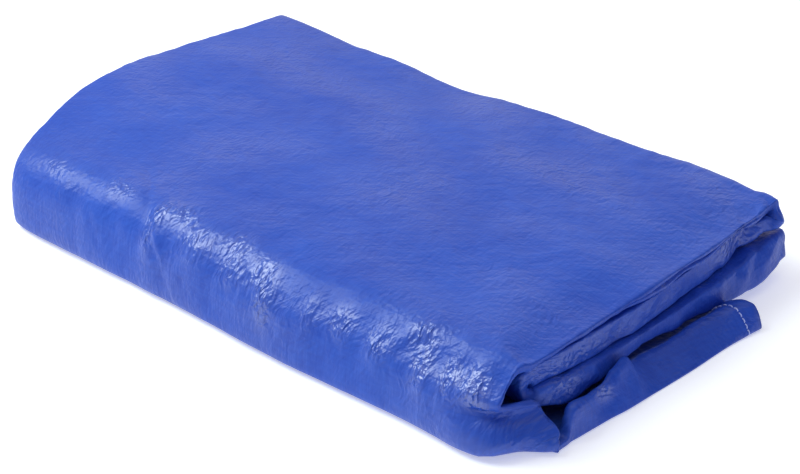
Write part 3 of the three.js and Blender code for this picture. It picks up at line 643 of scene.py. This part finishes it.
def sheet_lines(s, thick, outer_steps):
    """Middle line of the sheet across the strip, for each length s: x, t and its share of the relief."""
    q = {name: PATH.value(name, s) for name in PATH.columns}
    outer = HALF + q["loft"] - thick / 2
    inner = np.full_like(s, -HALF) + thick / 2
    right_outer = q["right_out"] + q["end_loft"] - thick / 2
    right_inner = right_outer - q["right_lobe"] + thick
    left_outer = q["left_out"] + q["loft"] - thick / 2
    left_inner = left_outer - q["left_lobe"] + thick
    right_end = q["right"] - q["right_round"]
    right_start = right_end - q["right_blend"]
    left_end = q["left"] + q["left_round"]
    left_start = left_end + LEFT_BLEND
    middle = np.zeros_like(s)
    crowd = 1 + (CROWD - 1) * np.clip(q["right_blend"] / CROWD_FULL, 0, 1)[:, None]
    crowded = 1 - (1 - np.linspace(0, 1, RIGHT_STEPS + 1)) ** crowd
    to_right = right_start[:, None] + q["right_blend"][:, None] * crowded
    lean_start, lean_end = right_start - q["lean"], right_end - q["lean"]
    to_left = blend(left_start, left_end, LEFT_STEPS, s)

    def layer(x, from_t, to_t, start, end, part):
        opened = smooth(start[:, None], end[:, None], x)
        return x, from_t[:, None] + (to_t - from_t)[:, None] * opened, part + (1 - part) * opened

    def flat(x, t, part):
        return x, np.broadcast_to(t[:, None], x.shape), np.full(x.shape, part)

    def turned(stretch):
        return tuple(values[:, ::-1] for values in stretch)

    right_nose = nose(right_end, q["right_round"] - thick / 2, right_inner, right_outer, 1,
                      q["lean"][:, None], q["tuck"][:, None])
    left_nose = nose(left_end, q["left_round"] - thick / 2, left_outer, left_inner, -1)
    parts = [
        flat(blend(FREE_UNDER, lean_start, HIDDEN_STEPS, s)[:, :-1], middle, HIDDEN_SHARE),
        layer(to_right[:, :-1] - q["lean"][:, None], middle, right_inner, lean_start, lean_end, HIDDEN_SHARE),
        (*right_nose, np.ones(right_nose[0].shape)),
        turned(layer(to_right[:, :-1], outer, right_outer, right_start, right_end, 1)),
        flat(blend(right_start, left_start, outer_steps, s)[:, 1:-1], outer, 1),
        layer(to_left[:, :-1], outer, left_outer, left_start, left_end, 1),
        (*left_nose, np.ones(left_nose[0].shape)),
        turned(layer(to_left[:, 1:-1], inner, left_inner, left_start, left_end, HIDDEN_SHARE)),
        flat(blend(left_start, FREE_OVER, HIDDEN_STEPS, s), inner, HIDDEN_SHARE),
    ]
    x, t, relief_share = (np.concatenate([part[k] for part in parts], axis=1) for k in range(3))
    first_outer = sum(part[0].shape[1] for part in parts[:4])
    return x, t, relief_share, first_outer


def sides(x, t):
    """The direction across the sheet at every point of its middle line."""
    along = np.stack([np.gradient(x, axis=1), np.gradient(t, axis=1)], -1)
    along /= np.linalg.norm(along, axis=-1, keepdims=True)
    return -along[..., 1], along[..., 0]


def cloth_places(x, t, first_outer):
    """How far each point is across the flat cloth, the same as x on the outer layer."""
    run = np.concatenate([np.zeros((len(x), 1)), np.cumsum(np.hypot(np.diff(x), np.diff(t)), axis=1)], axis=1)
    return run[:, first_outer:first_outer + 1] + x[:, first_outer:first_outer + 1] - run


def crumpled_lines(s, outer_steps):
    """Middle lines of the crumpled sheet, its thickness, and how far each point is across the flat cloth."""
    thick = SHEET + HEM_EXTRA * (1 - smooth(HEM + HEM_THINS[0], HEM + HEM_THINS[1], s))
    x, t, relief_share, first_outer = sheet_lines(s, thick, outer_steps)
    u = cloth_places(x, t, first_outer)
    along = np.broadcast_to(s[:, None], x.shape)
    height = off_surface(x, t, along)[..., 2]
    relief = crumple(u, along) + streaks(u, along) + creases(u, along) + facets(u, along)
    relief = relief * relief_share * smooth(0, RELIEF_FROM, height)
    side_x, side_t = sides(x, t)
    return x - side_x * relief, t - side_t * relief, thick, u


def folded_sheet(block, outer_steps):
    """Points of the sheet in some folds, a ring for each station, and the place of each on the flat cloth."""
    s = PATH.stations(block)
    x, t, thick, u = crumpled_lines(s, outer_steps)
    side_x, side_t = sides(x, t)
    half = thick[:, None] / 2
    loop_x = np.concatenate([x - side_x * half, (x + side_x * half)[:, ::-1]], axis=1)
    loop_t = np.concatenate([t - side_t * half, (t + side_t * half)[:, ::-1]], axis=1)
    places = np.concatenate([u, u[:, ::-1]], axis=1)
    lengths = np.broadcast_to(s[:, None], loop_x.shape)
    return settled(off_surface(loop_x, loop_t, lengths)), places, lengths


def block_faces(start, rings, size):
    """Faces between the rings of one block. Both sides of the sheet share their diagonals."""
    faces = []
    for i in range(rings - 1):
        for j in range(size):
            a, b = start + i * size + j, start + i * size + (j + 1) % size
            if j < size // 2:
                faces += [(a, b + size, b), (a, a + size, b + size)]
            else:
                faces += [(a, a + size, b), (b, a + size, b + size)]
    return faces


def seam_faces(before, after, places_before, places_after):
    """Faces between two rings of different counts: before and after are the first points of each."""
    counts = len(places_before), len(places_after)
    last = counts[0] - 1, counts[1] - 1
    half = counts[0] // 2 - 1, counts[1] // 2 - 1
    faces = [(before + half[0], after + half[1], before + half[0] + 1),
             (before + half[0] + 1, after + half[1], after + half[1] + 1),
             (before + last[0], after + last[1], before), (before, after + last[1], after)]
    j = k = 0
    while j < half[0] or k < half[1]:
        if k == half[1] or (j < half[0] and places_before[j + 1] > places_after[k + 1]):
            faces.append((before + j, after + k, before + j + 1))
            faces.append((before + last[0] - j, before + last[0] - j - 1, after + last[1] - k))
            j += 1
        else:
            faces.append((before + j, after + k, after + k + 1))
            faces.append((before + last[0] - j, after + last[1] - k - 1, after + last[1] - k))
            k += 1
    return faces


def end_faces(first, size, way):
    """The cut edge of the sheet at one end of the strip."""
    faces = []
    for j in range(size // 2 - 1):
        corners = (first + j, first + j + 1, first + size - 2 - j, first + size - 1 - j)
        faces.append(corners[::way])
    return faces


def new_object(name, points, faces):
    mesh = bpy.data.meshes.new(name)
    mesh.from_pydata((np.asarray(points) * MM).tolist(), [], faces)
    mesh.validate()
    mesh.polygons.foreach_set("use_smooth", [True] * len(mesh.polygons))
    thing = bpy.data.objects.new(name, mesh)
    bpy.context.collection.objects.link(thing)
    return thing


def build_cover():
    blocks = [folded_sheet(block, outer_steps) for block, outer_steps in BLOCKS]
    faces = []
    start = 0
    for i, (points, places, _) in enumerate(blocks):
        rings, size = points.shape[:2]
        if i == 0:
            faces += end_faces(0, size, 1)
        else:
            faces += seam_faces(start - len(before), start, before, places[0])
        faces += block_faces(start, rings, size)
        start += rings * size
        before = places[-1]
    faces += end_faces(start - size, size, -1)
    points, places, lengths = (
        np.concatenate([block[k].reshape(-1, *block[k].shape[2:]) for block in blocks]) for k in range(3))
    cover = new_object("cover_sheet", points, faces)
    cloth = np.stack([places, lengths], -1) * MM
    layer = cover.data.uv_layers.new(name="cloth")
    corners = np.empty(len(cover.data.loops), dtype=np.int32)
    cover.data.loops.foreach_get("vertex_index", corners)
    layer.data.foreach_set("uv", cloth[corners].ravel().astype(np.float32))
    strength = cover.data.attributes.new("crinkle", "FLOAT", "POINT")
    strength.data.foreach_set("value", crinkled(places, lengths).astype(np.float32))
    return cover


def stitch_lines():
    """The middle line of each stitch on the hem, raised off the cloth with both ends sunk into it."""
    s = np.array([HEM - THREAD])
    x, t, thick, u = crumpled_lines(s, BLOCKS[0][1])
    side_x, side_t = sides(x, t)
    across = u[0, ::-1]
    rise = np.array(STITCH_ARCH) * THREAD
    lines = []
    for start in np.arange(across[0] + STITCH_PITCH, across[-1] - STITCH_PITCH, STITCH_PITCH):
        places = start + np.linspace(0, STITCH_LENGTH, len(rise))
        at_x, at_t, off_x, off_t = (
            np.interp(places, across, values[0, ::-1]) for values in (x, t, side_x, side_t))
        off = thick[0] / 2 + rise
        line = settled(off_surface((at_x - off_x * off)[None], (at_t - off_t * off)[None],
                                   np.full((1, len(rise)), s[0])))[0]
        if line[:, 2].min() > STITCH_CLEAR * THREAD:
            lines.append(line)
    return lines


def thread_tube(line):
    """Points and faces of one round stitch along a line."""
    along = np.gradient(line, axis=0)
    along /= np.linalg.norm(along, axis=1, keepdims=True)
    side = np.cross(along, ASIDE)
    side /= np.linalg.norm(side, axis=1, keepdims=True)
    other = np.cross(along, side)
    turns = np.linspace(0, 2 * np.pi, THREAD_SIDES, endpoint=False)
    points = [p + THREAD / 2 * (a * math.cos(turn) + b * math.sin(turn))
              for p, a, b in zip(line, side, other) for turn in turns]
    faces = []
    for i in range(len(line) - 1):
        for j in range(THREAD_SIDES):
            a, b = i * THREAD_SIDES + j, i * THREAD_SIDES + (j + 1) % THREAD_SIDES
            faces.append((a, b, b + THREAD_SIDES, a + THREAD_SIDES))
    last = (len(line) - 1) * THREAD_SIDES
    faces.append(tuple(reversed(range(THREAD_SIDES))))
    faces.append(tuple(range(last, last + THREAD_SIDES)))
    return points, faces


def build_stitches():
    points, faces = [], []
    for line in stitch_lines():
        tube_points, tube_faces = thread_tube(line)
        faces += [tuple(corner + len(points) for corner in face) for face in tube_faces]
        points += tube_points
    return new_object("hem_stitches", points, faces)


class Nodes:
    """Short calls for the nodes of a material or of the world."""

    def __init__(self, tree):
        self.tree = tree

    def fill(self, node, inputs):
        """Link the sockets among the inputs to the node, and set its own values to the others."""
        for name, value in inputs.items():
            if isinstance(value, bpy.types.NodeSocket):
                self.tree.links.new(value, node.inputs[name])
            else:
                node.inputs[name].default_value = value

    def add(self, kind, inputs=None, **settings):
        node = self.tree.nodes.new(kind)
        for name, value in settings.items():
            setattr(node, name, value)
        self.fill(node, inputs or {})
        return node

    def math(self, operation, *values):
        return self.add("ShaderNodeMath", dict(enumerate(values)), operation=operation).outputs[0]

    def weighted(self, *terms):
        """The sum of some values, each times its weight."""
        first, *others = (self.math("MULTIPLY", value, weight) for value, weight in terms)
        for other in others:
            first = self.math("ADD", first, other)
        return first

    def ramp(self, factor, stops):
        node = self.add("ShaderNodeValToRGB", {"Fac": factor})
        ends = node.color_ramp.elements
        while len(ends) < len(stops):
            ends.new(0.5)
        for end, (place, colour) in zip(ends, stops):
            end.position = place
            end.color = (*colour, 1)
        return node.outputs["Color"]


def new_material(name):
    """A material with short calls for its nodes, and its shader."""
    material = bpy.data.materials.new(name)
    material.use_nodes = True
    return material, Nodes(material.node_tree), material.node_tree.nodes["Principled BSDF"]


def coated_weave():
    """Blue woven tape under a clear coat, with fine crinkles, a faint weave and slightly uneven colour."""
    material, n, shader = new_material("coated_weave")
    cloth = n.add("ShaderNodeUVMap", uv_map="cloth").outputs["UV"]
    split = n.add("ShaderNodeSeparateXYZ", {"Vector": cloth})
    across, along = split.outputs["X"], split.outputs["Y"]
    strength = n.add("ShaderNodeAttribute", attribute_name="crinkle").outputs["Fac"]

    def noise(vector, scale, detail=2.0, output="Fac"):
        inputs = {"Vector": vector, "Scale": scale, "Detail": detail}
        return n.add("ShaderNodeTexNoise", inputs).outputs[output]

    def ridges(vector, scale):
        off = n.math("ABSOLUTE", n.math("SUBTRACT", noise(vector, scale, 1.0), 0.5))
        return n.math("SUBTRACT", 1.0, n.math("MULTIPLY", off, CRINKLE_FALL))

    def tapes(run):
        inputs = {"W": run, "Scale": TAPE_SCALE, "Detail": 1.0}
        return n.add("ShaderNodeTexNoise", inputs, noise_dimensions="1D").outputs["Fac"]

    def waves(run):
        return n.math("SINE", n.math("MULTIPLY", run, 2 * math.pi / TAPE_PITCH))

    def stretched(vector, scales):
        return n.add("ShaderNodeVectorMath", {0: vector, 1: scales}, operation="MULTIPLY").outputs["Vector"]

    def drawn_noises(vector, both_scales):
        return n.math("ADD", *(noise(stretched(vector, scales), 1.0) for scales in both_scales))

    swirl = noise(cloth, SWIRL_SCALE, 1.0, "Color")
    bent = n.add("ShaderNodeVectorMath", {0: swirl, 1: SWIRL_REACH, 2: cloth},
                 operation="MULTIPLY_ADD").outputs["Vector"]
    slanted = n.add("ShaderNodeVectorRotate", {"Vector": bent, "Angle": RUMPLE_SLANT},
                    rotation_type="Z_AXIS").outputs["Vector"]
    drawn = stretched(bent, CRINKLE_STRETCH)
    crinkle = n.weighted(*((ridges(drawn, scale), height) for scale, height in CRINKLES))
    grain = drawn_noises(cloth, GRAIN_SCALES)
    rumples = drawn_noises(slanted, RUMPLE_SCALES)
    woven = n.weighted(
        (n.math("ADD", tapes(across), tapes(along)), TAPE_HEIGHT),
        (n.math("MULTIPLY", waves(across), waves(along)), KNOT_HEIGHT),
        (grain, GRAIN_HEIGHT),
        (rumples, RUMPLE_HEIGHT),
    )
    height = n.math("ADD", n.math("MULTIPLY", crinkle, strength), woven)
    relief = n.add("ShaderNodeBump", {"Height": height, "Strength": 1.0, "Distance": MM})
    patches = noise(cloth, MOTTLE_SCALE, 3.0)
    mottle = n.weighted((patches, MOTTLE["patches"]), (grain, MOTTLE["grain"]), (rumples, MOTTLE["rumples"]))
    dull = n.math("SUBTRACT", ROUGH["flat"], n.math("MULTIPLY", strength, ROUGH["crinkled"]))
    varied = n.math("MULTIPLY", noise(cloth, ROUGH["scale"], 3.0), ROUGH["varies"])
    n.fill(shader, {
        "Base Color": n.ramp(mottle, CLOTH_COLOURS),
        "Roughness": n.math("ADD", varied, n.math("MAXIMUM", dull, ROUGH["least"])),
        "Normal": relief.outputs["Normal"],
        "Specular IOR Level": n.math("ADD", n.math("MULTIPLY", strength, SHINE["crinkled"]), SHINE["flat"]),
    })
    return material


def spun_thread():
    """Pale thread with a slight twist."""
    material, n, shader = new_material("spun_thread")
    place = n.add("ShaderNodeTexCoord").outputs["Object"]
    twist = n.add("ShaderNodeTexNoise", {"Vector": place, "Scale": 1800.0, "Detail": 1.0}).outputs["Fac"]
    relief = n.add("ShaderNodeBump", {"Height": twist, "Strength": 0.6, "Distance": 0.2 * MM})
    n.fill(shader, {
        "Base Color": n.ramp(twist, THREAD_COLOURS),
        "Normal": relief.outputs["Normal"],
        "Roughness": 0.6,
    })
    return material


def floor_finish():
    material, n, shader = new_material("studio_floor")
    speckle = n.add("ShaderNodeTexNoise", {"Scale": 3.0, "Detail": 2.0}).outputs["Fac"]
    n.fill(shader, {
        "Base Color": n.ramp(speckle, FLOOR_COLOURS),
        "Roughness": 0.9,
        "Emission Color": (1, 1, 1, 1),
        "Emission Strength": FLOOR_GLOW,
    })
    return material


def back_of_camera():
    """The direction from the target to the camera."""
    azimuth, elevation = math.radians(AZIMUTH), math.radians(ELEVATION)
    return Vector((math.sin(azimuth) * math.cos(elevation), -math.cos(azimuth) * math.cos(elevation),
                   math.sin(elevation)))


def add_camera():
    data = bpy.data.cameras.new("camera")
    data.lens = LENS
    data.sensor_width = SENSOR
    camera = bpy.data.objects.new("camera", data)
    camera.location = Vector(TARGET) + back_of_camera() * DISTANCE
    camera.rotation_euler = back_of_camera().to_track_quat("Z", "Y").to_euler()
    bpy.context.collection.objects.link(camera)
    bpy.context.scene.camera = camera


def add_area_light(name, direction, distance, size, power, colour):
    data = bpy.data.lights.new(name, "AREA")
    data.shape = "RECTANGLE"
    data.size, data.size_y = size
    data.energy = power
    data.color = colour
    light = bpy.data.objects.new(name, data)
    towards = Vector(direction).normalized()
    light.location = towards * distance
    light.rotation_euler = towards.to_track_quat("Z", "Y").to_euler()
    bpy.context.collection.objects.link(light)


def add_sky():
    """Soft light all round, brighter from above than from the sides, and dim beyond the open folds."""
    world = bpy.data.worlds.new("studio")
    world.use_nodes = True
    n = Nodes(world.node_tree)
    direction = n.add("ShaderNodeTexCoord").outputs["Generated"]
    split = n.add("ShaderNodeSeparateXYZ", {"Vector": direction})
    level = n.ramp(split.outputs["Z"], [(place, (bright, bright, bright)) for place, bright in SKY])
    dim = n.ramp(split.outputs["X"], list(zip(DIM_RANGE, ((1, 1, 1), DIM_TINT))))
    shaded = n.add("ShaderNodeVectorMath", {0: level, 1: dim}, operation="MULTIPLY")
    n.fill(n.tree.nodes["Background"], {"Color": shaded.outputs["Vector"], "Strength": SKY_STRENGTH})
    bpy.context.scene.world = world


def add_studio():
    corners = np.array([(-1, -1, 0), (1, -1, 0), (1, 1, 0), (-1, 1, 0)])
    floor = new_object("floor", corners * FLOOR_REACH, [(0, 1, 2, 3)])
    floor.location.z = -FLOOR_DROP * MM
    floor.data.materials.append(floor_finish())
    for light in LIGHTS:
        add_area_light(**light)
    add_sky()
    bpy.context.scene.view_settings.view_transform = "Standard"


add_camera()
add_studio()

cover = build_cover()
cover.data.materials.append(coated_weave())
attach(cover, "root")
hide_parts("cover")

stitches = build_stitches()
stitches.data.materials.append(spun_thread())
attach(stitches, "root")
